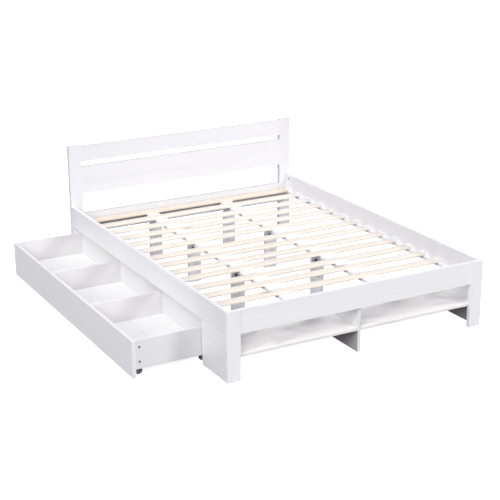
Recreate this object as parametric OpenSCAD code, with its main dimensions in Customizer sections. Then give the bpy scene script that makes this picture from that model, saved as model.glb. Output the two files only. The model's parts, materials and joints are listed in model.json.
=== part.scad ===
// Double bed frame with slatted base, open foot shelf and a roll-out drawer.
// Millimetres. +Z up, +Y from foot to head, +X towards the sleeper's left side.
// The origin is on the floor under the middle of the shelf divider.

/* [Bed] */
// Overall width over the side rails
bed_w = 1550; // [1500:10:1850]
// Overall length over the foot legs and the headboard
bed_l = 2060; // [2050:5:2155]
// Thickness of the legs and rails
board_t = 22; // [20:1:26]
// Underside of the side, foot and head rails above the floor
rail_z = 247; // [235:1:300]
// Height of the side and foot rails
rail_h = 125; // [110:1:160]
// How far the foot rail stands back from the foot legs' front faces
foot_recess = 4; // [0:1:8]

/* [Headboard] */
// Top of the headboard stiles above the floor
head_h = 750; // [720:5:900]
// Thickness of the headboard's boards
head_t = 30; // [24:1:36]
// Width of each headboard stile
stile_w = 80; // [70:1:110]
// Drop from the stile tops to the top rail
top_drop = 7; // [0:1:15]
// Height of the top rail
top_rail_h = 97; // [80:1:110]
// Height of the slot under the top rail
slot_h = 32; // [20:1:40]
// Height of the panel under the slot
head_panel_h = 170; // [140:1:185]
// Top of the rail behind the mattress above the floor
head_rail_top = 319; // [310:1:330]
// Height of the rail behind the mattress
head_rail_h = 127; // [124:1:150]

/* [Foot shelf] */
// Width of each foot leg board
leg_w = 75; // [60:1:100]
// Depth of the side panels behind the foot legs
side_panel_l = 248; // [240:1:260]
// Underside of the shelf boards above the floor
shelf_z = 120; // [80:5:140]
// Thickness of the shelf boards and of the divider
shelf_t = 18; // [15:1:20]
// Distance from the foot legs' front faces to the shelf's front edge
shelf_setback = 15; // [5:1:20]
// Thickness of the shelf's back panel
shelf_back_t = 15; // [12:1:18]

/* [Slatted base] */
// Number of slats
slat_count = 13; // [10:1:13]
// Width of a slat
slat_w = 60; // [50:1:70]
// Thickness of a slat
slat_t = 13; // [11:1:16]
// Front edge of the first slat behind the foot legs' front faces
first_slat = 321; // [280:1:340]
// Gap between the last slat and the headboard
last_slat_gap = 5; // [3:1:20]
// Width and height of the ledges that carry the slat ends
ledge_size = [28, 20];
// Length of a slat end cap
cap_l = 25; // [20:1:27]
// Wall of a slat end cap
cap_wall = 2; // [1.5:0.5:3]

/* [Centre supports] */
// Distance of each centre beam from the middle of the bed
beam_x = 260; // [220:5:285]
// Width of the centre beams and of their legs
beam_w = 80; // [60:5:90]
// Thickness of the centre beams and of their legs
beam_t = 20; // [18:1:22]
// Front face of the first leg row behind the foot legs' front faces
first_leg = 838; // [700:1:845]
// Distance from one leg row to the next
leg_pitch = 543; // [500:1:555]

/* [Drawer] */
// How far the drawer is drawn out from flush with the bed's side
drawer_out = 380; // [0:10:440]
// Depth of the drawer from front face to back face
drawer_d = 444; // [380:1:446]
// Height of the drawer's upper edges above the floor
drawer_top = 203; // [175:1:220]
// Clearance between the drawer and the posts at its two ends
drawer_gap = 5; // [3:1:10]
// Thickness of the drawer's front board
drawer_front_t = 20; // [16:1:22]
// Thickness of the drawer's walls and dividers
drawer_wall_t = 16; // [12:1:18]
// How far the drawer's end walls stand in from the front board's ends
drawer_end_in = 1; // [0:0.5:3]
// Gap between the floor and the drawer's front board
drawer_front_z = 5; // [3:1:15]
// Gap between the floor and the drawer's walls
drawer_wall_z = 50; // [46:1:56]
// Underside of the drawer's bottom panel above the floor
drawer_bottom_z = 62; // [58:1:70]
// Thickness of the drawer's bottom panel
drawer_bottom_t = 12; // [9:1:12]
// Front faces of the two dividers, from the drawer's foot end
divider_at = [562, 1137];

/* [Castors] */
// Radius of the castor wheels
wheel_r = 20; // [15:1:22]
// Width of the castor wheels
wheel_w = 14; // [10:1:18]
// Radius of the castor axles
castor_axle_r = 2.95; // [2:0.05:4]
// Distance from the drawer's ends to the castor centres
castor_inset = 51; // [45:1:120]
// Distances from the drawer's front face to the two castor rows
castor_rows = [53, 407];

/* [Hidden] */
SLATS = [for (k = [1 : slat_count]) str("slat_", k)];
SIDES = ["left", "right"];
ROWS = ["foot", "middle", "head"];
CASTORS = ["front_foot", "front_head", "rear_foot", "rear_head"];

$fn = 48;
white = [0.93, 0.93, 0.95];
pine = [0.93, 0.85, 0.73];
steel = [0.55, 0.55, 0.57];

half_w = bed_w / 2;
foot_y = -(shelf_setback + side_panel_l + board_t - shelf_back_t) / 2;
head_y = foot_y + bed_l - head_t;
rail_top = rail_z + rail_h;
inner_x = half_w - board_t;
foot_rail_back = foot_y + foot_recess + board_t;
panel_back = foot_y + board_t + side_panel_l;
shelf_front = foot_y + shelf_setback;
shelf_back = panel_back - shelf_back_t;
top_rail_z = head_h - top_drop - top_rail_h;
head_panel_z = top_rail_z - slot_h - head_panel_h;
beam_top = rail_z + beam_t;
ledge_top = rail_z + ledge_size[1];
slat_pitch = (bed_l - head_t - last_slat_gap - slat_w - first_slat) / (slat_count - 1);
slat_end_play = 0.5;
slat_end_x = inner_x - cap_wall - slat_end_play;
head_rail_z = head_rail_top - head_rail_h;

// Angle brackets under the beams' foot ends and behind the beam legs
bracket_w = 40;
bracket_t = 3;
bracket_leg = 50;
bracket_foot = 30;
bracket_bolt = 35;

// Room around a bolt or a screw in its hole
bolt_play = 0.2;
screw_play = 0.1;

// How far a cut runs past the face it starts from, and a pilot hole past its screw
overcut = 1;
pilot_end = 0.5;

// Dowels
dowel_r = 4;
dowel_l = 30;
dowel_fit = 0.05;
// Heights of the dowels as parts of their board's height
dowel_at = [0.25, 0.75];
panel_dowel_at = [0.2, 0.8];

// Bolts and barrel nuts that join the side rails to the headboard
rail_bolt_r = 3;
rail_bolt_hole_r = 3.5;
rail_bolt_head = [7.5, 2.5];
rail_bolt_head_play = 0.5;
nut_r = 6;
nut_l = 15;
nut_inset = 21;
nut_recess = 1;
rail_bolt_l = head_t + nut_inset + 15;
rail_bolt_up = [29, 96];
rail_bolt_z = [for (up = rail_bolt_up) rail_z + up];
rail_bolt_x = -half_w + board_t / 2;

// Bolts and screws in the beam legs
leg_bolt_r = 4;
leg_bolt_head = [8, 4];
leg_nut = [7, 3];
leg_bolt_x = 15;
leg_bolt_z = rail_z - bracket_bolt;
leg_screw_z = 108;
leg_screw_x = 21;
// Shank radius, head radius, length and head height of the screws
leg_screw = [1.8, 3.6, 14, 0.8];
drawer_screw = [2, 6.5, 14, 1];

// Round caps over the screws in the side panels
cap_r = 6;
cap_t = 0.8;
cap_y = [40, 94];
cap_leg_in = board_t * 0.8;
cap_up = cap_r * 4;

// Drawer, in place at rest
drawer_x = -half_w - drawer_out;
drawer_back_x = drawer_x + drawer_d;
drawer_foot_y = panel_back + drawer_gap;
drawer_head_y = head_y - drawer_gap;
drawer_inner_x = [drawer_x + drawer_front_t, drawer_back_x - drawer_wall_t];
drawer_floor = drawer_bottom_z + drawer_bottom_t;
castor_xy = [for (row = castor_rows, end = [drawer_foot_y + castor_inset, drawer_head_y - castor_inset])
    [drawer_x + row, end]];
drawer_end_y = [drawer_foot_y + drawer_end_in, drawer_head_y - drawer_end_in];
drawer_inner_y = [drawer_end_y[0] + drawer_wall_t, drawer_end_y[1] - drawer_wall_t];
castor_play = 2;
castor_sheet = 2;
axle_play = 0.05;
drawer_screw_z = [88, 166];
drawer_screw_x = drawer_x + 40;
// Gap between the two boards of the drawer's bottom
bottom_gap = 1;

// A square-edged board between two corners
module board(x, y, z) {
    translate([x[0], y[0], z[0]]) cube([x[1] - x[0], y[1] - y[0], z[1] - z[0]]);
}

// A copy of the children on each side of the bed; the second is its mirror image
module both_sides() {
    children();
    mirror([1, 0, 0]) children();
}

module one_side(side) {
    mirror([side == "left" ? 0 : 1, 0, 0]) children();
}

// A rod from a point along X or Y
module rod_x(at, r, l) {
    translate(at) rotate([0, 90, 0]) cylinder(r = r, h = l);
}

module rod_y(at, r, l) {
    translate(at) rotate([-90, 0, 0]) cylinder(r = r, h = l);
}

// Dowels across the joints of one side: centres, and the direction they run in
head_joints = [
    for (z = concat([for (at = dowel_at) top_rail_z + top_rail_h * at],
                    [for (at = panel_dowel_at) head_panel_z + head_panel_h * at],
                    [for (at = dowel_at) head_rail_z + head_rail_h * at]))
        [-half_w + stile_w, head_y + head_t / 2, z]
];
foot_joints = [
    for (z = [for (at = dowel_at) rail_z + rail_h * at])
        [-half_w + leg_w, foot_y + (foot_recess + board_t) / 2, z]
];
rail_joints = [
    for (z = [for (at = dowel_at) rail_z + rail_h * at])
        [-half_w + board_t / 2, foot_y + board_t, z]
];
// Dowels that run through the leg boards stop short of their front faces
blind_dowel_l = dowel_l / 2 - 1;

module dowel_set(r) {
    for (at = concat(head_joints, foot_joints)) rod_x(at - [dowel_l / 2, 0, 0], r, dowel_l);
    for (at = rail_joints) rod_y(at - [0, blind_dowel_l, 0], r, 2 * blind_dowel_l);
}

// Holes for one side's dowels, rail bolts and barrel nuts
module side_holes() {
    dowel_set(dowel_r);
    for (z = rail_bolt_z) {
        rod_y([rail_bolt_x, head_y + head_t - rail_bolt_l - overcut, z], rail_bolt_hole_r,
            rail_bolt_l + 2 * overcut);
        rod_y([rail_bolt_x, head_y + head_t - rail_bolt_head[1], z], rail_bolt_head[0] + rail_bolt_head_play,
            rail_bolt_head[1] + overcut);
        rod_x([-inner_x - nut_recess - nut_l - bolt_play, head_y - nut_inset, z], nut_r + screw_play,
            nut_l + nut_recess + overcut);
    }
}

module drilled() {
    difference() {
        children();
        both_sides() side_holes();
    }
}

module headboard_stile(side) {
    color(white) one_side(side) difference() {
        board([-half_w, -half_w + stile_w], [head_y, head_y + head_t], [0, head_h]);
        side_holes();
    }
}

// A horizontal board between the headboard stiles
module head_board(z, h) {
    color(white) drilled()
        board([-half_w + stile_w, half_w - stile_w], [head_y, head_y + head_t], [z, z + h]);
}

module side_rail(side) {
    color(white) one_side(side) difference() {
        board([-half_w, -inner_x], [foot_y + board_t, head_y], [rail_z, rail_top]);
        side_holes();
    }
}

module foot_rail() {
    color(white) drilled()
        board([-half_w + leg_w, half_w - leg_w], [foot_y + foot_recess, foot_rail_back], [rail_z, rail_top]);
}

module foot_leg(side) {
    color(white) one_side(side) difference() {
        board([-half_w, -half_w + leg_w], [foot_y, foot_y + board_t], [0, rail_top]);
        side_holes();
    }
}

module foot_side_panel(side) {
    color(white) one_side(side)
        board([-half_w, -inner_x], [foot_y + board_t, panel_back], [0, rail_z]);
}

module shelf_divider() {
    color(white)
        board([-shelf_t / 2, shelf_t / 2], [shelf_front, shelf_back], [0, rail_z]);
}

// The shelf boards are notched around the foot legs
module shelf_board(side) {
    color(white) one_side(side) difference() {
        board([-inner_x, -shelf_t / 2], [shelf_front, shelf_back], [shelf_z, shelf_z + shelf_t]);
        board([-half_w, -half_w + leg_w], [foot_y, foot_y + board_t], [0, rail_top]);
    }
}

module shelf_back_panel() {
    color(white)
        board([-inner_x, inner_x], [shelf_back, panel_back], [shelf_z, rail_z]);
}

module slat_ledge(side) {
    color(white) one_side(side)
        board([-inner_x, -inner_x + ledge_size[0]], [foot_y + board_t, head_y], [rail_z, ledge_top]);
}

module centre_beam(side) {
    color(white) one_side(side)
        board([-beam_x - beam_w / 2, -beam_x + beam_w / 2],
            [foot_rail_back + bracket_t, leg_y(2) + beam_t + bracket_foot], [rail_z, beam_top]);
}

function leg_y(row) = foot_y + first_leg + row * leg_pitch;

// The bolt and screw sit at the same place on every leg, left and right
module leg_rods(bolt_r, screw_r, depth, screw_depth) {
    rod_y([-leg_bolt_x, 0, leg_bolt_z], bolt_r, depth);
    rod_y([leg_screw_x - leg_bolt_x, 0, leg_screw_z], screw_r, screw_depth);
}

module beam_leg(side, row) {
    x = side == "left" ? -beam_x : beam_x;
    color(white) translate([x, leg_y(row), 0]) difference() {
        board([-beam_w / 2, beam_w / 2], [0, beam_t], [0, rail_z]);
        translate([0, -overcut, 0])
            leg_rods(leg_bolt_r + bolt_play, leg_screw[0] + screw_play, beam_t + 2 * overcut,
                leg_screw[2] + 2 * overcut);
    }
}

// An angle bracket: one flange under the beam, the other down a leg or up the foot rail
module bracket() {
    difference() {
        union() {
            board([-bracket_w / 2, bracket_w / 2], [0, bracket_foot], [-bracket_t, 0]);
            board([-bracket_w / 2, bracket_w / 2], [0, bracket_t], [-bracket_leg, 0]);
        }
        rod_y([0, -overcut, -bracket_bolt], leg_bolt_r + bolt_play, bracket_t + 2 * overcut);
    }
}

module beam_brackets() {
    color(steel) for (x = [-beam_x, beam_x]) {
        for (row = [0 : 2])
            translate([x - leg_bolt_x, leg_y(row) + beam_t, rail_z]) bracket();
        translate([x, foot_rail_back, rail_z - bracket_t]) mirror([0, 0, 1]) bracket();
    }
}

// A screw whose flat head stands on a face, running along +Y
module screw(size) {
    rod_y([0, 0, 0], size[0], size[2]);
    rod_y([0, -size[3], 0], size[1], size[3]);
}

module beam_fasteners() {
    color([0.25, 0.25, 0.27]) for (x = [-beam_x, beam_x], row = [0 : 2]) {
        translate([x - leg_bolt_x, leg_y(row), leg_bolt_z]) {
            rod_y([0, 0, 0], leg_bolt_r, beam_t + bracket_t + leg_nut[1]);
            rod_y([0, -leg_bolt_head[1], 0], leg_bolt_head[0], leg_bolt_head[1]);
            // Nut behind the bracket
            difference() {
                rod_y([0, beam_t + bracket_t, 0], leg_nut[0], leg_nut[1]);
                rod_y([0, beam_t + bracket_t - overcut, 0], leg_bolt_r, leg_nut[1] + 2 * overcut);
            }
        }
        translate([x + leg_screw_x - leg_bolt_x, leg_y(row), leg_screw_z]) screw(leg_screw);
    }
}

function slat_y(k) = foot_y + first_slat + (k - 1) * slat_pitch;

module slat(k) {
    color(pine)
        board([-slat_end_x, slat_end_x], [slat_y(k), slat_y(k) + slat_w], [ledge_top, ledge_top + slat_t]);
}

// Plastic caps over both ends of every slat, open below and towards the middle
module slat_end_caps() {
    play = 0.3;
    color("white") both_sides() for (k = [1 : slat_count]) difference() {
        board([-inner_x, -inner_x + cap_l],
            [slat_y(k) - play - cap_wall, slat_y(k) + slat_w + play + cap_wall],
            [ledge_top, ledge_top + slat_t + play + cap_wall]);
        board([-inner_x + cap_wall, 0], [slat_y(k) - play, slat_y(k) + slat_w + play],
            [ledge_top - overcut, ledge_top + slat_t + play]);
    }
}

module rail_bolts() {
    color(steel) both_sides() for (z = rail_bolt_z) {
        rod_y([rail_bolt_x, head_y + head_t - rail_bolt_l, z], rail_bolt_r, rail_bolt_l - rail_bolt_head[1]);
        rod_y([rail_bolt_x, head_y + head_t - rail_bolt_head[1], z], rail_bolt_head[0], rail_bolt_head[1]);
    }
}

module barrel_nuts() {
    color(steel) both_sides() for (z = rail_bolt_z) difference() {
        rod_x([-inner_x - nut_recess - nut_l, head_y - nut_inset, z], nut_r, nut_l);
        rod_y([rail_bolt_x, head_y - nut_inset - nut_r - overcut, z], rail_bolt_r + dowel_fit,
            2 * (nut_r + overcut));
    }
}

module dowels() {
    color(pine) both_sides() dowel_set(dowel_r - dowel_fit);
}

// Thin round caps over the screws that hold the side panels and shelf boards
module screw_caps() {
    color("white") both_sides() {
        rod_y([-half_w + cap_leg_in, foot_y - cap_t, shelf_z / 2], cap_r, cap_t);
        for (y = cap_y)
            rod_x([-half_w - cap_t, foot_y + y, shelf_z + shelf_t + cap_up], cap_r, cap_t);
    }
}

module drawer_front() {
    color(white)
        board([drawer_x, drawer_inner_x[0]], [drawer_foot_y, drawer_head_y], [drawer_front_z, drawer_top]);
}

module drawer_back() {
    color(white)
        board([drawer_inner_x[1], drawer_back_x], drawer_inner_y, [drawer_wall_z, drawer_top]);
}

// The end wall whose outer face is at y, with pilot holes for its screws; dir points inwards
module drawer_end(y, dir) {
    color(white) translate([0, y, 0]) mirror([0, (1 - dir) / 2, 0]) difference() {
        board([drawer_inner_x[0], drawer_back_x], [0, drawer_wall_t], [drawer_wall_z, drawer_top]);
        for (z = drawer_screw_z)
            rod_y([drawer_screw_x, -overcut, z], drawer_screw[0] + screw_play,
                drawer_screw[2] + overcut + pilot_end);
    }
}

module drawer_divider(k) {
    y = drawer_foot_y + divider_at[k];
    color(white)
        board(drawer_inner_x, [y, y + drawer_wall_t], [drawer_floor, drawer_top]);
}

// Two boards side by side
module drawer_bottom() {
    half_bottom = (drawer_inner_x[1] - drawer_inner_x[0] - bottom_gap) / 2;
    color(white) for (x = [drawer_inner_x[0], drawer_inner_x[1] - half_bottom])
        board([x, x + half_bottom], drawer_inner_y, [drawer_bottom_z, drawer_floor]);
}

module drawer_screws() {
    color(steel) for (z = drawer_screw_z) {
        translate([drawer_screw_x, drawer_end_y[0], z]) screw(drawer_screw);
        translate([drawer_screw_x, drawer_end_y[1], z]) mirror([0, 1, 0]) screw(drawer_screw);
    }
}

// A fixed castor: a top plate and two cheeks that carry the axle
module castor_housings() {
    cheek_gap = wheel_w + 2 * castor_play;
    cheek_w = 22;
    plate_l = 40;
    plate_lip = 8;
    plate = [plate_l, cheek_gap + 2 * (castor_sheet + plate_lip)];
    color(steel) for (at = castor_xy) translate([at[0], at[1], 0]) difference() {
        union() {
            translate([-plate[0] / 2, -plate[1] / 2, drawer_bottom_z - castor_sheet])
                cube([plate[0], plate[1], castor_sheet]);
            for (y = [-cheek_gap / 2 - castor_sheet, cheek_gap / 2]) {
                translate([-cheek_w / 2, y, wheel_r])
                    cube([cheek_w, castor_sheet, drawer_bottom_z - castor_sheet - wheel_r]);
                rod_y([0, y, wheel_r], cheek_w / 2, castor_sheet);
            }
        }
        rod_y([0, -cheek_gap, wheel_r], castor_axle_r + axle_play, 2 * cheek_gap);
    }
}

module castor_axles() {
    axle_l = wheel_w + 2 * castor_play + 4 * castor_sheet;
    color([0.3, 0.3, 0.32]) for (at = castor_xy)
        rod_y([at[0], at[1] - axle_l / 2, wheel_r], castor_axle_r, axle_l);
}

// A wheel with a crowned tread and a hub that stands slightly proud of its web
module castor_wheel(k) {
    edge = 3;
    web_in = 2;
    hub_r = 7;
    color([0.35, 0.35, 0.37]) translate([castor_xy[k][0], castor_xy[k][1], wheel_r])
        rotate([90, 0, 0]) rotate_extrude($fn = 96) polygon([
            [castor_axle_r + axle_play, -wheel_w / 2],
            [hub_r, -wheel_w / 2],
            [hub_r, -wheel_w / 2 + web_in],
            [wheel_r - 2 * edge, -wheel_w / 2 + web_in],
            [wheel_r - 2 * edge, -wheel_w / 2],
            [wheel_r - edge, -wheel_w / 2],
            [wheel_r, -wheel_w / 2 + edge],
            [wheel_r, wheel_w / 2 - edge],
            [wheel_r - edge, wheel_w / 2],
            [wheel_r - 2 * edge, wheel_w / 2],
            [wheel_r - 2 * edge, wheel_w / 2 - web_in],
            [hub_r, wheel_w / 2 - web_in],
            [hub_r, wheel_w / 2],
            [castor_axle_r + axle_play, wheel_w / 2]
        ]);
}

headboard_stile("left");  // headboard_stile_left
headboard_stile("right");  // headboard_stile_right
head_board(top_rail_z, top_rail_h);  // headboard_top_rail
head_board(head_panel_z, head_panel_h);  // headboard_panel
head_board(head_rail_z, head_rail_h);  // head_rail
side_rail("left");  // side_rail_left
side_rail("right");  // side_rail_right
foot_rail();
foot_leg("left");  // foot_leg_left
foot_leg("right");  // foot_leg_right
foot_side_panel("left");  // foot_side_panel_left
foot_side_panel("right");  // foot_side_panel_right
shelf_divider();
shelf_board("left");  // shelf_board_left
shelf_board("right");  // shelf_board_right
shelf_back_panel();
slat_ledge("left");  // slat_ledge_left
slat_ledge("right");  // slat_ledge_right
centre_beam("left");  // centre_beam_left
centre_beam("right");  // centre_beam_right
for (side = SIDES, row = [0 : 2])
    beam_leg(side, row);
for (k = [1 : slat_count])
    slat(k);
slat_end_caps();
rail_bolts();
barrel_nuts();
dowels();
beam_brackets();
beam_fasteners();
screw_caps();
drawer_front();
drawer_back();
drawer_end(drawer_end_y[0], 1);  // drawer_end_foot
drawer_end(drawer_end_y[1], -1);  // drawer_end_head
drawer_divider(0);  // drawer_divider_foot
drawer_divider(1);  // drawer_divider_head
drawer_bottom();
drawer_screws();
castor_housings();
castor_axles();
for (k = [0 : 3])
    castor_wheel(k);
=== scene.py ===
import json
import math

import bmesh
import bpy
from mathutils import Matrix, Vector


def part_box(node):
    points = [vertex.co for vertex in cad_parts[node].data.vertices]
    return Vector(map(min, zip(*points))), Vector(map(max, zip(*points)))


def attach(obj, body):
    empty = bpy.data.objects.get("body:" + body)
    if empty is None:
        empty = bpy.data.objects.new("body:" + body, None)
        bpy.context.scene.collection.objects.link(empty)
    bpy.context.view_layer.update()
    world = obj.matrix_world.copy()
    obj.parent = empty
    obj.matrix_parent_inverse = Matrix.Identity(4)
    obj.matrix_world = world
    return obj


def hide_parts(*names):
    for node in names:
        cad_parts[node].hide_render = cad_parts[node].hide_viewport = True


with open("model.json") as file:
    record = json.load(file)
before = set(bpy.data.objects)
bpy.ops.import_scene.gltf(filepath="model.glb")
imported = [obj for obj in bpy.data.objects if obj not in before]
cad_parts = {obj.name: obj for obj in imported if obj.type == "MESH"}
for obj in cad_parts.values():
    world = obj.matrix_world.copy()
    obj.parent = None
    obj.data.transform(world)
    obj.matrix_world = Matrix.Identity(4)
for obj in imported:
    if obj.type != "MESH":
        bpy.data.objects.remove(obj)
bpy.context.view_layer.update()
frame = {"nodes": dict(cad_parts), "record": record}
NODES = frame["nodes"]

# ---------------------------------------------------------------- camera

IMAGE_PX = 500
SENSOR_MM = 36.0
FOCAL_PX = 1264.08
CAMERA_AT = Vector((-3.3826, -5.1215, 2.5965))
AZIMUTH = math.radians(28.762)
ELEVATION = math.radians(18.716)
ROLL = math.radians(-0.313)


def add_camera():
    """The camera, turned to look along azimuth (from +Y towards +X) and down by elevation."""
    forward = Vector((
        math.sin(AZIMUTH) * math.cos(ELEVATION),
        math.cos(AZIMUTH) * math.cos(ELEVATION),
        -math.sin(ELEVATION),
    ))
    level = Vector((math.cos(AZIMUTH), -math.sin(AZIMUTH), 0.0))
    upright = level.cross(forward)
    right = math.cos(ROLL) * level + math.sin(ROLL) * upright
    up = math.cos(ROLL) * upright - math.sin(ROLL) * level
    data = bpy.data.cameras.new("camera")
    data.sensor_width = SENSOR_MM
    data.lens = SENSOR_MM * FOCAL_PX / IMAGE_PX
    data.clip_end = 60.0
    camera = bpy.data.objects.new("camera", data)
    turn = Matrix((right, up, -forward)).transposed().to_4x4()
    camera.matrix_world = Matrix.Translation(CAMERA_AT) @ turn
    bpy.context.scene.collection.objects.link(camera)
    bpy.context.scene.camera = camera


add_camera()

# ---------------------------------------------------------------- materials

# The most that one piece's pattern is shifted against another's, per axis
PIECE_SHIFT = (17.0, 23.0, 31.0)


class Shader:
    """One material's node tree, built a node at a time. Inputs are values or other nodes' sockets."""

    def __init__(self, name, **constants):
        self.material = bpy.data.materials.new(name)
        self.material.use_nodes = True
        self.tree = self.material.node_tree
        self.tree.nodes.clear()
        self.bsdf = self.add("ShaderNodeBsdfPrincipled", constants)
        out = self.tree.nodes.new("ShaderNodeOutputMaterial")
        self.tree.links.new(self.bsdf.outputs[0], out.inputs["Surface"])

    def add(self, kind, inputs=None, **settings):
        node = self.tree.nodes.new(kind)
        for key, value in settings.items():
            setattr(node, key, value)
        for key, value in (inputs or {}).items():
            self.set(node.inputs[key], value)
        return node

    def set(self, socket, value):
        if isinstance(value, bpy.types.NodeSocket):
            self.tree.links.new(value, socket)
        else:
            socket.default_value = value

    def surface(self, key, value):
        self.set(self.bsdf.inputs[key], value)

    def position(self, scale):
        """Object coordinates, shifted at random from piece to piece and scaled per axis."""
        place = self.add("ShaderNodeTexCoord").outputs["Object"]
        chance = self.add("ShaderNodeObjectInfo").outputs["Random"]
        shift = self.add("ShaderNodeVectorMath", {0: PIECE_SHIFT, "Scale": chance}, operation="SCALE")
        moved = self.vector("ADD", place, shift.outputs[0])[0]
        return self.vector("MULTIPLY", moved, scale)[0]

    def noise(self, at, scale=1.0, detail=3.0, roughness=0.5, distortion=0.0):
        inputs = {"Vector": at, "Scale": scale, "Detail": detail, "Roughness": roughness,
                  "Distortion": distortion}
        return self.add("ShaderNodeTexNoise", inputs).outputs["Fac"]

    def span(self, value, low, high, to_low=0.0, to_high=1.0):
        inputs = {"Value": value, "From Min": low, "From Max": high, "To Min": to_low, "To Max": to_high}
        return self.add("ShaderNodeMapRange", inputs).outputs["Result"]

    def mix(self, factor, a, b, blend="MIX"):
        node = self.add("ShaderNodeMix", data_type="RGBA", blend_type=blend)
        self.set(node.inputs[0], factor)
        self.set(node.inputs[6], a)
        self.set(node.inputs[7], b)
        return node.outputs[2]

    def vector(self, operation, a, b):
        return self.add("ShaderNodeVectorMath", {0: a, 1: b}, operation=operation).outputs

    def maths(self, operation, a, b=0.0):
        return self.add("ShaderNodeMath", {0: a, 1: b}, operation=operation).outputs[0]

    def edge(self, radius, low=0.02, high=0.25):
        """1 on rounded edges, 0 on flat faces. Paint and pine darken them as wear; plastic and metal lighten
        them, partly as rubbed wear and partly as a painted highlight.
        """
        rounded = self.add("ShaderNodeBevel", {"Radius": radius}, samples=4).outputs[0]
        flat = self.add("ShaderNodeNewGeometry").outputs["Normal"]
        dot = self.vector("DOT_PRODUCT", rounded, flat)["Value"]
        return self.span(self.maths("SUBTRACT", 1.0, dot), low, high)

    def bump(self, height, distance, strength=1.0, normal=None):
        inputs = {"Height": height, "Distance": distance, "Strength": strength}
        if normal is not None:
            inputs["Normal"] = normal
        return self.add("ShaderNodeBump", inputs).outputs[0]


def rgb(r, g, b):
    return (r, g, b, 1.0)


def toned(tint, k):
    """A tint made darker or lighter."""
    return rgb(*(c * k for c in tint))


SMUDGE = rgb(0.53, 0.53, 0.535)
# The dark colour that faces are mixed towards as painted shade
PAINTED_SHADE = rgb(0.06, 0.0, 0.05)
KNOT = rgb(0.40, 0.23, 0.12)
# Where the spread of directions that count as facing one way starts and ends
FACING = (0.6, 0.9)
FADE_HEIGHT = 0.01


def along(axis, lengthwise, across):
    """A scale vector that is lengthwise on one axis and across on the other two."""
    return tuple(lengthwise if k == axis else across for k in "XYZ")


def painted_wood(name, tint, grain, streaks=0.0, shaded_faces=()):
    """Satin lacquer over solid wood: soft brush-free colour, faint grain telegraphing through, dry edges.

    streaks adds the grey smudges of a thin glaze on the shelf boards. The last argument lists faces that get
    painted shade, darker where less light falls on them: the direction they face, how much darker, and the
    height they stay below, if any.
    """
    s = Shader(name, **{"IOR": 1.46})
    fibres = s.noise(s.position(along(grain, 3.0, 90.0)), detail=4.0, roughness=0.6)
    figure = s.noise(s.position(along(grain, 0.8, 9.0)), detail=2.0, distortion=0.6)
    cloud = s.noise(s.position((2.2, 2.2, 2.2)), detail=2.0)
    peel = s.noise(s.position((420.0, 420.0, 420.0)), detail=1.0)
    colour = s.mix(s.span(figure, 0.35, 0.68), rgb(*tint), toned(tint, 0.955))
    dusty = tuple(c * k for c, k in zip(tint, (0.988, 0.984, 0.976)))
    colour = s.mix(s.span(cloud, 0.45, 0.8, 0.0, 0.6), colour, rgb(*dusty))
    pores = s.span(fibres, 0.30, 0.42, 0.28, 0.0)
    colour = s.mix(pores, colour, toned(tint, 0.86))
    if streaks:
        smudge = s.noise(s.position(along(grain, 4.5, 9.0)), detail=2.0, roughness=0.5, distortion=0.4)
        colour = s.mix(s.span(smudge, 0.50, 0.66, 0.0, streaks), colour, SMUDGE)
    # Painted shade: faces turned one way, and below a height if one is given, are darkened
    for direction, amount, *below in shaded_faces:
        normal = s.add("ShaderNodeNewGeometry").outputs["Normal"]
        facing = s.vector("DOT_PRODUCT", normal, direction)["Value"]
        shade = s.span(facing, *FACING, 0.0, amount)
        for height in below:
            split = s.add("ShaderNodeSeparateXYZ", {0: s.add("ShaderNodeTexCoord").outputs["Object"]})
            shade = s.maths("MULTIPLY", shade, s.span(split.outputs[2], height, height + FADE_HEIGHT, 1.0, 0.0))
        colour = s.mix(shade, colour, PAINTED_SHADE)
    edge = s.maths("MULTIPLY", s.edge(0.0025), s.span(cloud, 0.35, 0.75, 0.25, 0.8))
    colour = s.mix(s.maths("MULTIPLY", edge, 0.35), colour, toned(tint, 0.88))
    s.surface("Base Color", colour)
    rough = s.span(figure, 0.3, 0.7, 0.36, 0.46)
    s.surface("Roughness", s.maths("ADD", rough, s.maths("MULTIPLY", edge, 0.12)))
    fine = s.bump(peel, 0.00004, 0.6)
    s.surface("Normal", s.bump(fibres, 0.00025, 0.55, fine))
    return s.material


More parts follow.
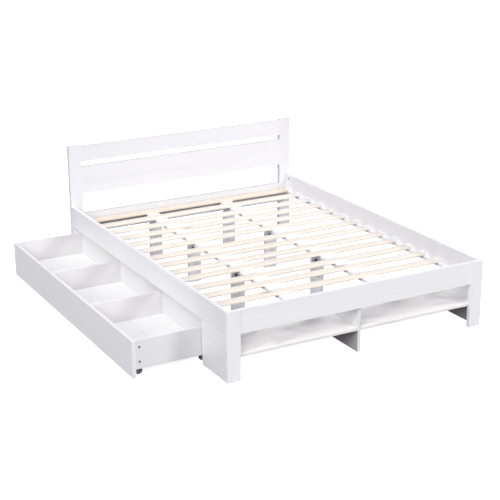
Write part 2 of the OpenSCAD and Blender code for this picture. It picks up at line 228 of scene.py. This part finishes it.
def bare_pine(name, early_tint, late_tint, grain="X"):
    """Planed pale pine: early and late wood in long bands, a few knots, open fibres."""
    s = Shader(name, **{"IOR": 1.45})
    warp = s.noise(s.position(along(grain, 0.9, 4.0)), detail=2.0)
    rings = s.noise(s.position(along(grain, 0.55, 38.0)), detail=3.0, roughness=0.55, distortion=0.8)
    fibres = s.noise(s.position(along(grain, 6.0, 420.0)), detail=3.0, roughness=0.65)
    cells = s.add("ShaderNodeTexVoronoi", {"Vector": s.position(along(grain, 2.3, 8.5)), "Scale": 1.0,
                                           "Randomness": 1.0})
    knot = s.span(cells.outputs["Distance"], 0.05, 0.11, 1.0, 0.0)
    early = rgb(*early_tint)
    late = rgb(*late_tint)
    colour = s.mix(s.span(rings, 0.44, 0.66, 0.0, 0.75), early, late)
    honey = rgb(*(0.5 * (a + b) for a, b in zip(early_tint, late_tint)))
    colour = s.mix(s.span(warp, 0.35, 0.75, 0.0, 0.45), colour, honey)
    colour = s.mix(s.span(fibres, 0.55, 0.75, 0.0, 0.22), colour, toned(late_tint, 0.85))
    chance = s.add("ShaderNodeObjectInfo").outputs["Random"]
    colour = s.mix(s.span(chance, 0.0, 1.0, 0.0, 0.35), colour, honey)
    colour = s.mix(s.maths("MULTIPLY", knot, 0.62), colour, KNOT)
    edge = s.edge(0.002)
    colour = s.mix(s.maths("MULTIPLY", edge, 0.30), colour, toned(late_tint, 0.88))
    s.surface("Base Color", colour)
    s.surface("Roughness", s.span(rings, 0.3, 0.7, 0.62, 0.50))
    ridge = s.bump(rings, 0.0004, 0.5)
    s.surface("Normal", s.bump(fibres, 0.0002, 0.6, ridge))
    return s.material


def moulded_plastic(name, tint, roughness, grit=700.0):
    """Moulded plastic with a spark-eroded skin and slightly lighter edges, partly rubbed wear and partly a
    painted highlight.
    """
    s = Shader(name, **{"IOR": 1.49})
    skin = s.noise(s.position((grit, grit, grit)), detail=2.0)
    cloud = s.noise(s.position((24.0, 24.0, 24.0)), detail=2.0)
    colour = s.mix(s.span(cloud, 0.35, 0.75), rgb(*tint), toned(tint, 0.93))
    edge = s.edge(0.0012)
    # Lighter edges: partly rubbed wear, partly a painted highlight
    colour = s.mix(s.maths("MULTIPLY", edge, 0.35), colour, rgb(*(min(1.0, c * 1.15 + 0.03) for c in tint)))
    s.surface("Base Color", colour)
    s.surface("Roughness", s.span(cloud, 0.3, 0.7, roughness - 0.05, roughness + 0.06))
    s.surface("Normal", s.bump(skin, 0.00006, 0.5))
    return s.material


def plated_metal(name, tint, roughness, spots, metallic=1.0):
    """Plated or blackened steel: fine drawn scratches, cloudy plating, brighter edges, partly rubbed wear and
    partly a painted highlight.
    """
    s = Shader(name, Metallic=metallic)
    scratch = s.noise(s.position((1800.0, 90.0, 1800.0)), detail=3.0)
    cloud = s.noise(s.position((70.0, 70.0, 70.0)), detail=4.0, roughness=0.6)
    colour = s.mix(s.span(cloud, 0.35, 0.7), rgb(*tint), toned(tint, spots))
    edge = s.edge(0.0008)
    # Brighter edges: partly rubbed wear, partly a painted highlight
    colour = s.mix(s.maths("MULTIPLY", edge, 0.5), colour, rgb(*(min(1.0, c * 1.3 + 0.05) for c in tint)))
    s.surface("Base Color", colour)
    rough = s.span(cloud, 0.3, 0.75, roughness - 0.08, roughness + 0.10)
    s.surface("Roughness", s.maths("ADD", rough, s.span(scratch, 0.3, 0.7, -0.04, 0.04)))
    s.surface("Normal", s.bump(scratch, 0.00003, 0.5))
    return s.material


WHITE = (0.867, 0.873, 0.903)
INSIDE_WHITE = (0.868, 0.869, 0.872)
SHELF_WHITE = (0.868, 0.862, 0.852)
PAINT = {axis: painted_wood(f"white_paint_{axis}", WHITE, axis) for axis in "XYZ"}


def paint_tone_and_shade(name, strength, grain, streaks=0.0, tint=WHITE, shaded_faces=()):
    """White paint a little darker or lighter per piece, nearly the same hue: mostly painted shade and painted
    light set to how brightly each piece is lit, partly a real difference in tone.
    """
    return painted_wood(name, tuple(c * strength for c in tint), grain, streaks, shaded_faces)


SHELF_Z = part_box("shelf_board_left")[0].z
# Each piece's paint: a strength under 1 is painted shade and over 1 painted light, partly real tone; the
# listed faces get painted shade
PAINT_TONES_AND_SHADES = {
    "headboard_panel": paint_tone_and_shade("headboard_paint_X", 0.90, "X"),
    "headboard_stile_left": paint_tone_and_shade("headboard_paint_Z", 0.90, "Z"),
    "headboard_stile_right": paint_tone_and_shade("right_stile_paint", 0.88, "Z", shaded_faces=[((-1, 0, 0), 0.32)]),
    "head_rail": paint_tone_and_shade("head_rail_paint", 0.80, "X"),
    "side_rail_left": paint_tone_and_shade("left_rail_paint", 0.95, "Y"),
    "side_rail_right": paint_tone_and_shade("right_rail_paint", 0.97, "Y", shaded_faces=[((-1, 0, 0), 0.155)]),
    "foot_side_panel_left": paint_tone_and_shade("side_panel_paint", 0.98, "Y"),
    "foot_side_panel_right": paint_tone_and_shade("right_panel_paint", 0.95, "Y", shaded_faces=[((-1, 0, 0), 0.52, SHELF_Z)]),
    "shelf_divider": paint_tone_and_shade("divider_paint", 0.90, "Y", shaded_faces=[((-1, 0, 0), 0.40, SHELF_Z)]),
    "shelf_board_left": paint_tone_and_shade("shelf_paint", 0.97, "X", 0.50, SHELF_WHITE),
    "shelf_back_panel": paint_tone_and_shade("back_panel_paint", 1.04, "X", 0.25, INSIDE_WHITE),
    "drawer_front": paint_tone_and_shade("drawer_front_paint", 1.05, "Y", shaded_faces=[((0, 0, 1), 0.14), ((0, -1, 0), 0.10)]),
    "drawer_end_foot": paint_tone_and_shade("drawer_end_paint", 0.97, "X", shaded_faces=[((0, -1, 0), 0.09)]),
    "drawer_end_head": paint_tone_and_shade("drawer_head_end_paint", 0.95, "X", tint=INSIDE_WHITE,
                             shaded_faces=[((0, -1, 0), 0.17)]),
    "drawer_divider_foot": paint_tone_and_shade("drawer_divider_paint", 0.95, "X", tint=INSIDE_WHITE,
                                 shaded_faces=[((0, -1, 0), 0.19), ((0, 1, 0), 0.19)]),
    "drawer_back": paint_tone_and_shade("drawer_back_paint", 0.95, "Y", tint=INSIDE_WHITE, shaded_faces=[((-1, 0, 0), 0.13)]),
    "drawer_bottom": paint_tone_and_shade("drawer_bottom_paint", 1.03, "Y", tint=INSIDE_WHITE),
}
for twin, first in (
    ("headboard_top_rail", "headboard_panel"),
    ("shelf_board_right", "shelf_board_left"),
    ("drawer_divider_head", "drawer_divider_foot"),
):
    PAINT_TONES_AND_SHADES[twin] = PAINT_TONES_AND_SHADES[first]

PINE = bare_pine("slat_pine", (0.835, 0.790, 0.738), (0.780, 0.700, 0.612))
# The last slat, by the head rail, is a warmer, darker pine: painted shade from the head rail
SHADED_PINE = bare_pine("slat_pine_shaded", (0.810, 0.728, 0.636), (0.745, 0.622, 0.500))
BEECH = bare_pine("dowel_beech", (0.700, 0.520, 0.350), (0.600, 0.410, 0.260))
PLASTIC = moulded_plastic("white_plastic", (0.84, 0.845, 0.855), 0.42)
RUBBER = moulded_plastic("castor_rubber", (0.22, 0.225, 0.26), 0.55, 900.0)
ZINC = plated_metal("zinc_steel", (0.62, 0.62, 0.64), 0.34, 0.82)
CASTOR_STEEL = plated_metal("castor_steel", (0.42, 0.44, 0.52), 0.45, 0.75, 0.4)
DARK = plated_metal("dark_steel", (0.12, 0.12, 0.13), 0.42, 0.7)
DULL_ZINC = plated_metal("barrel_nut_zinc", (0.06, 0.059, 0.06), 0.6, 0.7, 0.6)
SCREW_STEEL = plated_metal("drawer_screw_steel", (0.26, 0.27, 0.36), 0.5, 0.7, 0.6)
HUB = moulded_plastic("castor_hub", (0.74, 0.76, 0.85), 0.45)

SLOT_MATERIALS = {
    "white_paint": PAINT, "drawer_paint": PAINT, "slat_pine": PINE, "dowel_beech": BEECH,
    "white_plastic": PLASTIC, "castor_rubber": RUBBER, "zinc_steel": ZINC, "dark_steel": DARK,
}


def grain_axis(node):
    """The axis of a board's longest side, which its grain follows."""
    low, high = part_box(node)
    size = high - low
    return "XYZ"[max(range(3), key=lambda k: size[k])]


def paint_cad_nodes():
    for sub in frame["record"]["subparts"]:
        node = sub["node"]
        finish = SLOT_MATERIALS[sub["material_slot"]]
        if isinstance(finish, dict):
            finish = PAINT_TONES_AND_SHADES.get(node) or finish[grain_axis(node)]
        piece = NODES[node]
        piece.data.materials.clear()
        piece.data.materials.append(finish)


paint_cad_nodes()

# ---------------------------------------------------------------- eased edges on the carried-over boards

EASED = 0.0026
SMALL_EASED = 0.0006


def ease_edges(piece, width, segments=3):
    """Rounds a carried-over node's square edges, as a router and sanding do."""
    weld = piece.modifiers.new("weld", "WELD")
    weld.merge_threshold = 0.00001
    bevel = piece.modifiers.new("ease", "BEVEL")
    bevel.width = width
    bevel.segments = segments
    bevel.limit_method = "ANGLE"
    bevel.angle_limit = math.radians(50)
    bevel.harden_normals = True
    bevel.use_clamp_overlap = True


for sub in frame["record"]["subparts"]:
    if sub["material_slot"] in ("white_paint", "drawer_paint"):
        ease_edges(NODES[sub["node"]], EASED)
ease_edges(NODES["slat_end_caps"], SMALL_EASED)
ease_edges(NODES["beam_brackets"], SMALL_EASED)

# ---------------------------------------------------------------- mesh tools

SIDES = ("left", "right")
ROWS = ("foot", "middle", "head")
CASTORS = ("front_foot", "front_head", "rear_foot", "rear_head")
AROUND = 48


def bridge(b, first, second):
    n = len(first)
    for k in range(n):
        b.faces.new((first[k], first[(k + 1) % n], second[(k + 1) % n], second[k]))


def loft(b, rings, closed=False):
    """Skins a row of rings, and either closes both ends or joins the last ring to the first."""
    loops = [[b.verts.new(v) for v in ring] for ring in rings]
    for first, second in zip(loops, loops[1:]):
        bridge(b, first, second)
    if closed:
        bridge(b, loops[-1], loops[0])
    else:
        b.faces.new(loops[0])
        b.faces.new(loops[-1])


def reach(shape, radius, angle):
    """Distance from the axis to a ring of this shape: round, a hexagon, or a cross recess."""
    if shape == "hex":
        sector = math.pi / 3
        return radius * math.cos(sector / 2) / math.cos(angle % sector - sector / 2)
    if shape == "cross":
        return radius * (0.34 + 0.66 * abs(math.cos(2 * angle)) ** 6)
    return radius


def turned(b, at, axis, profile, closed=False):
    """A lathed solid: profile lists (radius, height along axis, shape of the ring)."""
    w = Vector(axis).normalized()
    u = Vector((0.0, 0.0, 1.0)) if abs(w.z) < 0.9 else Vector((1.0, 0.0, 0.0))
    v = w.cross(u)
    rings = []
    for radius, height, *shape in profile:
        ring = []
        for k in range(AROUND):
            angle = 2 * math.pi * k / AROUND
            r = reach(shape[0] if shape else "round", radius, angle)
            ring.append(Vector(at) + w * height + u * (r * math.cos(angle)) + v * (r * math.sin(angle)))
        rings.append(ring)
    loft(b, rings, closed)


def extruded(b, outline, place, depth, rounding):
    """A flat plate: place turns an outline point and a depth into a place. Its rims are rounded."""
    inset = [(rounding, 0.0), (0.0, rounding), (0.0, depth - rounding), (rounding, depth)]
    middle = Vector((sum(p[0] for p in outline), sum(p[1] for p in outline))) / len(outline)
    rings = []
    for back, level in inset:
        ring = []
        for p in outline:
            arm = Vector(p) - middle
            q = middle + arm * max(0.0, 1.0 - back / max(arm.length, 1e-6))
            ring.append(Vector(place(q.x, q.y, level)))
        rings.append(ring)
    loft(b, rings)


def rounded_rectangle(x0, x1, y0, y1, radius, steps=5):
    """The outline of a rectangle with round corners."""
    corners = ((x1 - radius, y1 - radius, 0), (x0 + radius, y1 - radius, 90),
               (x0 + radius, y0 + radius, 180), (x1 - radius, y0 + radius, 270))
    points = []
    for cx, cy, first in corners:
        for k in range(steps + 1):
            angle = math.radians(first + 90 * k / steps)
            points.append((cx + radius * math.cos(angle), cy + radius * math.sin(angle)))
    return points


def finish_piece(b, name, body, material, nodes=(), sharp=32.0):
    """Turns a bmesh into a piece of the object that rides on a body and stands for some nodes."""
    bmesh.ops.recalc_face_normals(b, faces=b.faces)
    for face in b.faces:
        face.smooth = True
    for edge in b.edges:
        edge.smooth = edge.calc_face_angle(0.0) < math.radians(sharp)
    data = bpy.data.meshes.new(name)
    b.to_mesh(data)
    b.free()
    piece = bpy.data.objects.new(name, data)
    bpy.context.scene.collection.objects.link(piece)
    data.materials.append(material)
    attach(piece, body)
    if nodes:
        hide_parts(*nodes)
    return piece


# ---------------------------------------------------------------- slats

# Sideways crook of each slat at mid-span, from the foot end
CROOKS_MM = (0, 12, -5, 16, -5, -2, -8, 15, 4, -5, -12, 5, -2)
SLAT_STATIONS = 36
SLAT_ARRIS = 0.0022
SLAT_RISE = 0.0012
# The wavy edges of a planed slat: height, turns along it, and a shift from slat to slat
SLAT_WAVE, SLAT_WAVES, WAVE_SHIFT = 0.0006, 9.0, 2.1
RISE_SHIFT = 1.7


def add_slat(number, crook):
    """A planed slat with eased arrises, its natural crook and a slight rise in the middle."""
    low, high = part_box(f"slat_{number}")
    rings = []
    for k in range(SLAT_STATIONS + 1):
        x = low.x + (high.x - low.x) * k / SLAT_STATIONS
        along_span = math.cos(math.pi * (k / SLAT_STATIONS - 0.5))
        side = crook * along_span ** 1.5
        wave = SLAT_WAVE * math.sin(SLAT_WAVES * x + WAVE_SHIFT * number)
        lift = SLAT_RISE * along_span * (0.5 + 0.5 * math.sin(RISE_SHIFT * number))
        outline = rounded_rectangle(low.y + side, high.y + side, low.z, high.z, SLAT_ARRIS, 3)
        rings.append([Vector((x, y + wave * along_span, z + lift)) for y, z in outline])
    b = bmesh.new()
    loft(b, rings)
    # The last slat, by the head rail, gets the pine with painted shade
    finish = SHADED_PINE if number == len(CROOKS_MM) else PINE
    finish_piece(b, f"slat_{number}_board", "frame", finish, [f"slat_{number}"])


for number, crook_mm in enumerate(CROOKS_MM, 1):
    add_slat(number, crook_mm / 1000)

# ---------------------------------------------------------------- bolts, nuts, screws and caps


def socket_head(r, h, key):
    """Profile of a domed bolt head, from its seat up and down into a hexagon socket."""
    return [(r * 0.97, 0.0), (r, h * 0.12), (r * 0.99, h * 0.35), (r * 0.90, h * 0.68), (r * 0.74, h * 0.90),
            (r * 0.60, h), (key * 1.12, h), (key, h * 0.92, "hex"), (key, h * 0.34, "hex"),
            (key * 0.2, h * 0.22)]


def cross_head(r, h):
    """Profile of a pan head with a cross recess."""
    return [(r * 0.97, 0.0), (r, h * 0.2), (r * 0.96, h * 0.55), (r * 0.80, h * 0.88), (r * 0.62, h),
            (r * 0.56, h), (r * 0.52, h * 0.97, "cross"), (r * 0.44, h * 0.25, "cross"), (r * 0.08, h * 0.1)]


def threaded(r, start, end, pitch):
    """Profile of a threaded shank from start to end, both measured from the head's seat."""
    points = [(r * 0.3, start)]
    step = pitch / 2 if end > start else -pitch / 2
    count = int(abs(end - start) / abs(step))
    for k in range(count):
        points.append((r if k % 2 else r * 0.87, start + step * (k + 0.5)))
    points.append((r * 0.6, end))
    return points


# Sizes of the beam legs' bolts, nuts and screws, and where they sit beside the leg's middle
BRACKET_T = 0.003
BEAM_BOLT_X, BEAM_SCREW_X = -0.015, 0.006
BEAM_HEAD_R, BEAM_HEAD_H, BEAM_KEY = 0.008, 0.004, 0.0031
BEAM_BOLT_R, BEAM_BOLT_PITCH = 0.0039, 0.00125
SCREW_HEAD_R, SCREW_HEAD_H = 0.0036, 0.0008
SCREW_R, SCREW_L, SCREW_PITCH = 0.0018, 0.014, 0.0012
NUT_H = 0.0030
# How far the bolt's thread starts behind its seat, and ends inside the nut's face
SEAT_IN, TIP_IN = 0.0005, 0.0001
NUT_PROFILE = [
    (0.0041, 0.0), (0.0068, 0.0, "hex"), (0.0070, 0.0004, "hex"), (0.0070, 0.0024, "hex"),
    (0.0064, NUT_H, "hex"), (0.0045, NUT_H), (0.0041, 0.0027)]


def add_beam_fasteners():
    """A domed bolt with its nut, and a screw, in each beam leg."""
    b = bmesh.new()
    fasteners_low, fasteners_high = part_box("beam_fasteners")
    for side in SIDES:
        for row in ROWS:
            low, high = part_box(f"beam_leg_{side}_{row}")
            x = (low.x + high.x) / 2
            bolt = Vector((x + BEAM_BOLT_X, low.y, fasteners_high.z - BEAM_HEAD_R))
            screw = Vector((x + BEAM_SCREW_X, low.y, fasteners_low.z + SCREW_HEAD_R))
            turned(b, bolt, (0, -1, 0), socket_head(BEAM_HEAD_R, BEAM_HEAD_H, BEAM_KEY))
            back = high.y - low.y + BRACKET_T
            turned(b, bolt, (0, 1, 0), threaded(BEAM_BOLT_R, SEAT_IN, back + NUT_H - TIP_IN, BEAM_BOLT_PITCH))
            turned(b, bolt + Vector((0, back, 0)), (0, 1, 0), NUT_PROFILE, closed=True)
            turned(b, screw, (0, -1, 0), cross_head(SCREW_HEAD_R, SCREW_HEAD_H))
            turned(b, screw, (0, 1, 0), threaded(SCREW_R, 0.0, SCREW_L, SCREW_PITCH))
    finish_piece(b, "beam_bolts_and_screws", "frame", DARK, ["beam_fasteners"])


RAIL_HEAD_R, RAIL_HEAD_H, RAIL_KEY = 0.0075, 0.0025, 0.0026
RAIL_BOLT_R, RAIL_BOLT_PITCH = 0.0029, 0.0010


def add_rail_bolts():
    """The long bolts through the headboard, with domed heads let into the stiles."""
    b = bmesh.new()
    low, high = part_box("rail_bolts")
    for x in (low.x + RAIL_HEAD_R, high.x - RAIL_HEAD_R):
        for z in (low.z + RAIL_HEAD_R, high.z - RAIL_HEAD_R):
            seat = Vector((x, high.y - RAIL_HEAD_H, z))
            turned(b, seat, (0, 1, 0), socket_head(RAIL_HEAD_R, RAIL_HEAD_H, RAIL_KEY))
            turned(b, seat, (0, -1, 0), threaded(RAIL_BOLT_R, 0.0, seat.y - low.y, RAIL_BOLT_PITCH))
    finish_piece(b, "rail_bolt_set", "frame", ZINC, ["rail_bolts"])


BARREL_R = 0.0060
BARREL_PROFILE = [
    (0.0052, 0.0), (BARREL_R, 0.0008), (BARREL_R, 0.0142), (0.0053, 0.0150), (0.0044, 0.0150),
    (0.0038, 0.0136), (0.0030, 0.0134, "cross"), (0.0024, 0.0112, "cross"), (0.0004, 0.0104)]


def add_barrel_nuts():
    """Barrel nuts in the side rails, with a chamfered rim and a dished end with a cross recess."""
    b = bmesh.new()
    low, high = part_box("barrel_nuts")
    for x, out in ((low.x, 1), (high.x, -1)):
        for z in (low.z + BARREL_R, high.z - BARREL_R):
            turned(b, (x, (low.y + high.y) / 2, z), (out, 0, 0), BARREL_PROFILE)
    finish_piece(b, "barrel_nut_set", "frame", DULL_ZINC, ["barrel_nuts"])


CAP_R, CAP_T = 0.006, 0.0008
# The leg's cap in from the bed's side, and the panel's front cap behind the leg's front face
LEG_CAP_IN, FRONT_CAP_BACK = 0.0176, 0.040


def add_screw_caps():
    """Shallow domed caps with a fine rim over the screws of the side panels and legs."""
    b = bmesh.new()
    r, t = CAP_R, CAP_T
    dome = [(r * 0.98, 0.0), (r, t * 0.30), (r * 0.96, t * 0.62), (r * 0.88, t * 0.74), (r * 0.84, t * 0.66),
            (r * 0.66, t * 0.86), (r * 0.34, t * 0.97), (r * 0.05, t)]
    low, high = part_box("screw_caps")
    leg_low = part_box("foot_leg_left")[0]
    for side in (-1, 1):
        turned(b, (side * (abs(leg_low.x) - LEG_CAP_IN), leg_low.y, low.z + r), (0, -1, 0), dome)
        for y in (leg_low.y + FRONT_CAP_BACK, high.y - r):
            turned(b, (side * abs(leg_low.x), y, high.z - r), (side, 0, 0), dome)
    finish_piece(b, "screw_cap_set", "frame", PLASTIC, ["screw_caps"])


DRAWER_HEAD_R, DRAWER_HEAD_H, DRAWER_KEY = 0.0065, 0.001, 0.0023
DRAWER_SCREW_R, DRAWER_SCREW_L, DRAWER_SCREW_PITCH = 0.0019, 0.014, 0.0014


def add_drawer_screws():
    """Domed socket screws through the drawer's end walls."""
    b = bmesh.new()
    low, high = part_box("drawer_screws")
    x = (low.x + high.x) / 2
    for z in (low.z + DRAWER_HEAD_R, high.z - DRAWER_HEAD_R):
        for seat, out in ((low.y + DRAWER_HEAD_H, -1), (high.y - DRAWER_HEAD_H, 1)):
            head = socket_head(DRAWER_HEAD_R, DRAWER_HEAD_H, DRAWER_KEY)
            shank = threaded(DRAWER_SCREW_R, 0.0, DRAWER_SCREW_L, DRAWER_SCREW_PITCH)
            turned(b, (x, seat, z), (0, out, 0), head)
            turned(b, (x, seat, z), (0, -out, 0), shank)
    finish_piece(b, "drawer_screw_set", "drawer", SCREW_STEEL, ["drawer_screws"])


add_beam_fasteners()
add_rail_bolts()
add_barrel_nuts()
add_screw_caps()
add_drawer_screws()

# ---------------------------------------------------------------- castors

SHEET = 0.002
SHEET_ROUND = 0.0004
CHEEK_AT = 0.009
CHEEK_HALF = 0.011
CHEEK_STEPS = 16
# The cheek's flare where it meets the plate: how far out, and how far below the plate
FLARE = [(0.002, 0.0), (0.0006, 0.0016), (0.0, 0.004)]
PLATE_X, PLATE_Y, PLATE_CORNER = 0.020, 0.019, 0.004
PLATE_SCREW_X, PLATE_SCREW_Y = 0.015, 0.0145
PLATE_SCREW_HEAD = (0.0030, 0.0014)
PIN_R, RIVET_R, AXLE_HALF = 0.0029, 0.0046, 0.0128
RIM_IN = 0.0062
BORE = 0.00305


def add_castor(name):
    """One fixed castor: a pressed housing with its screws, a riveted axle, and a wheel of hub and tyre."""
    low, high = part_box(f"castor_wheel_{name}")
    centre = (low + high) / 2
    r = (high.z - low.z) / 2
    half = (high.y - low.y) / 2
    plate_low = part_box("castor_housings")[1].z - SHEET

    housing = bmesh.new()
    plate = rounded_rectangle(-PLATE_X, PLATE_X, -PLATE_Y, PLATE_Y, PLATE_CORNER)
    extruded(housing, plate, lambda x, y, d: (centre.x + x, centre.y + y, plate_low + d), SHEET, SHEET_ROUND)
    top = plate_low - centre.z
    cheek = [(-CHEEK_HALF - out, top - below) for out, below in FLARE]
    for k in range(CHEEK_STEPS + 1):
        angle = math.pi * (1 + k / CHEEK_STEPS)
        cheek.append((CHEEK_HALF * math.cos(angle), CHEEK_HALF * math.sin(angle)))
    cheek += [(CHEEK_HALF + out, top - below) for out, below in FLARE[::-1]]
    for side in (-1, 1):
        extruded(housing, cheek,
                 lambda x, z, d: (centre.x + x, centre.y + side * (CHEEK_AT + d), centre.z + z),
                 SHEET, SHEET_ROUND)
    for x in (-PLATE_SCREW_X, PLATE_SCREW_X):
        for y in (-PLATE_SCREW_Y, PLATE_SCREW_Y):
            seat = (centre.x + x, centre.y + y, plate_low)
            turned(housing, seat, (0, 0, -1), cross_head(*PLATE_SCREW_HEAD))
    finish_piece(housing, f"castor_housing_{name}", "drawer", CASTOR_STEEL, ["castor_housings"])

    axle = bmesh.new()
    inside, tip = CHEEK_AT + SHEET, AXLE_HALF
    ends = [(RIVET_R * 0.3, tip), (RIVET_R * 0.75, tip - 0.0003), (RIVET_R, tip - 0.0010), (RIVET_R, inside),
            (PIN_R, inside)]
    turned(axle, centre, (0, 1, 0), [(a, -h) for a, h in ends] + ends[::-1])
    finish_piece(axle, f"castor_axle_{name}", "drawer", DARK, ["castor_axles"])

    rim = r - RIM_IN
    tyre = bmesh.new()
    tread = [(rim, -half + 0.0006), (r - 0.0034, -half), (r - 0.0014, -half + 0.0008),
             (r - 0.0003, -half + 0.0028), (r, -half + 0.0046), (r, -0.0009), (r - 0.0006, -0.0005)]
    turned(tyre, centre, (0, 1, 0), tread + [(a, -h) for a, h in tread[::-1]], closed=True)
    finish_piece(tyre, f"castor_tyre_{name}", f"wheel_{name}", RUBBER,
                 [f"castor_wheel_{name}"])
    hub = bmesh.new()
    web = [(BORE, -half + 0.0002), (0.0062, -half + 0.0002), (0.0070, -half + 0.0010),
           (0.0073, -half + 0.0030), (rim - 0.0022, -half + 0.0030), (rim - 0.0016, -half + 0.0008),
           (rim - 0.0006, -half + 0.0003), (rim, -half + 0.0010)]
    turned(hub, centre, (0, 1, 0), web + [(a, -h) for a, h in web[::-1]], closed=True)
    finish_piece(hub, f"castor_hub_{name}", f"wheel_{name}", HUB)


for name in CASTORS:
    add_castor(name)

# ---------------------------------------------------------------- floor and light

FLOOR_HALF = 22.0
FLOOR_DROP = 0.0005
FLOOR_SEEN = 0.94
FLOOR_BOUNCE = (0.070, 0.060, 0.073)
PALE_BOUNCE = (0.84, 0.78, 0.85)
UNDER_BED_Y = (0.30, 0.70, 1.20, 2.10)
UNDER_BED_X = (0.70, 0.85)
BEHIND_Y, BEHIND_X = (2.10, 2.30), (-0.95, -0.75)
BENEATH = 0.8
BESIDE_X, BESIDE_Y = (0.85, 1.05), (-0.10, 0.30)
FLOOR_GLOW = 0.86
SKY = 0.50
SKY_SEEN = 1.10
SKY_TINT = (1.0, 0.955, 1.015)
# Suns: the direction each comes from, its strength, its softness in degrees, and its colour
KEY = ((-0.500, -0.400, 0.450), 0.783, 40.0, (0.998, 1.018, 0.990))
TOP = ((0.0, 0.0, 1.0), 0.060, 80.0, (1.0, 1.0, 1.0))
RIGHT = ((0.42, -0.73, 0.50), 0.37, 14.0, (1.0, 1.0, 1.0))


def floor_bounce(s):
    """The colour the floor lights the bed with: dark in front, pale beneath, behind and to the right."""
    split = s.add("ShaderNodeSeparateXYZ", {0: s.add("ShaderNodeTexCoord").outputs["Object"]})
    x, y = split.outputs[0], split.outputs[1]
    start, full, fade, end = UNDER_BED_Y
    beneath = s.maths("MULTIPLY", s.span(y, start, full), s.span(y, fade, end, 1.0, 0.0))
    beneath = s.maths("MULTIPLY", beneath, s.span(s.maths("ABSOLUTE", x), *UNDER_BED_X, 1.0, 0.0))
    beside = s.maths("MULTIPLY", s.span(x, *BESIDE_X), s.span(y, *BESIDE_Y))
    behind = s.maths("MULTIPLY", s.span(y, *BEHIND_Y), s.span(x, *BEHIND_X))
    pale = s.maths("MAXIMUM", s.maths("MULTIPLY", beneath, BENEATH), s.maths("MAXIMUM", beside, behind))
    return s.mix(pale, rgb(*FLOOR_BOUNCE), rgb(*PALE_BOUNCE))


def add_floor():
    """A pale studio floor. The camera sees it brighter than it lights the bed from below."""
    data = bpy.data.meshes.new("floor")
    b = bmesh.new()
    bmesh.ops.create_grid(b, x_segments=1, y_segments=1, size=FLOOR_HALF)
    b.to_mesh(data)
    b.free()
    floor = bpy.data.objects.new("floor", data)
    floor.location = (0.0, 0.0, -FLOOR_DROP)
    bpy.context.scene.collection.objects.link(floor)
    s = Shader("floor_pale", **{"Roughness": 0.8, "Specular IOR Level": 0.1})
    seen = s.add("ShaderNodeLightPath").outputs["Is Camera Ray"]
    s.surface("Base Color", s.mix(seen, floor_bounce(s), rgb(*(FLOOR_SEEN,) * 3)))
    s.surface("Emission Color", s.mix(seen, rgb(0.0, 0.0, 0.0), rgb(1.0, 1.0, 1.0)))
    s.surface("Emission Strength", FLOOR_GLOW)
    data.materials.append(s.material)


def add_sun(name, towards, strength, softness, tint):
    """A soft directional light that comes from the direction towards."""
    data = bpy.data.lights.new(name, "SUN")
    data.color = tint
    data.energy = strength * math.pi
    data.angle = math.radians(softness)
    light = bpy.data.objects.new(name, data)
    light.rotation_euler = Vector(towards).to_track_quat("Z", "Y").to_euler()
    bpy.context.scene.collection.objects.link(light)


def add_light():
    world = bpy.data.worlds.new("studio")
    world.use_nodes = True
    nodes, links = world.node_tree.nodes, world.node_tree.links
    background = nodes["Background"]
    background.inputs["Color"].default_value = rgb(*SKY_TINT)
    seen = nodes.new("ShaderNodeMapRange")
    seen.inputs["To Min"].default_value = SKY
    seen.inputs["To Max"].default_value = SKY_SEEN
    links.new(nodes.new("ShaderNodeLightPath").outputs["Is Camera Ray"], seen.inputs["Value"])
    links.new(seen.outputs["Result"], background.inputs["Strength"])
    bpy.context.scene.world = world
    add_sun("key", *KEY)
    add_sun("right", *RIGHT)
    add_sun("top", *TOP)
    view = bpy.context.scene.view_settings
    view.view_transform = "Standard"
    view.look = "None"


add_floor()
add_light()
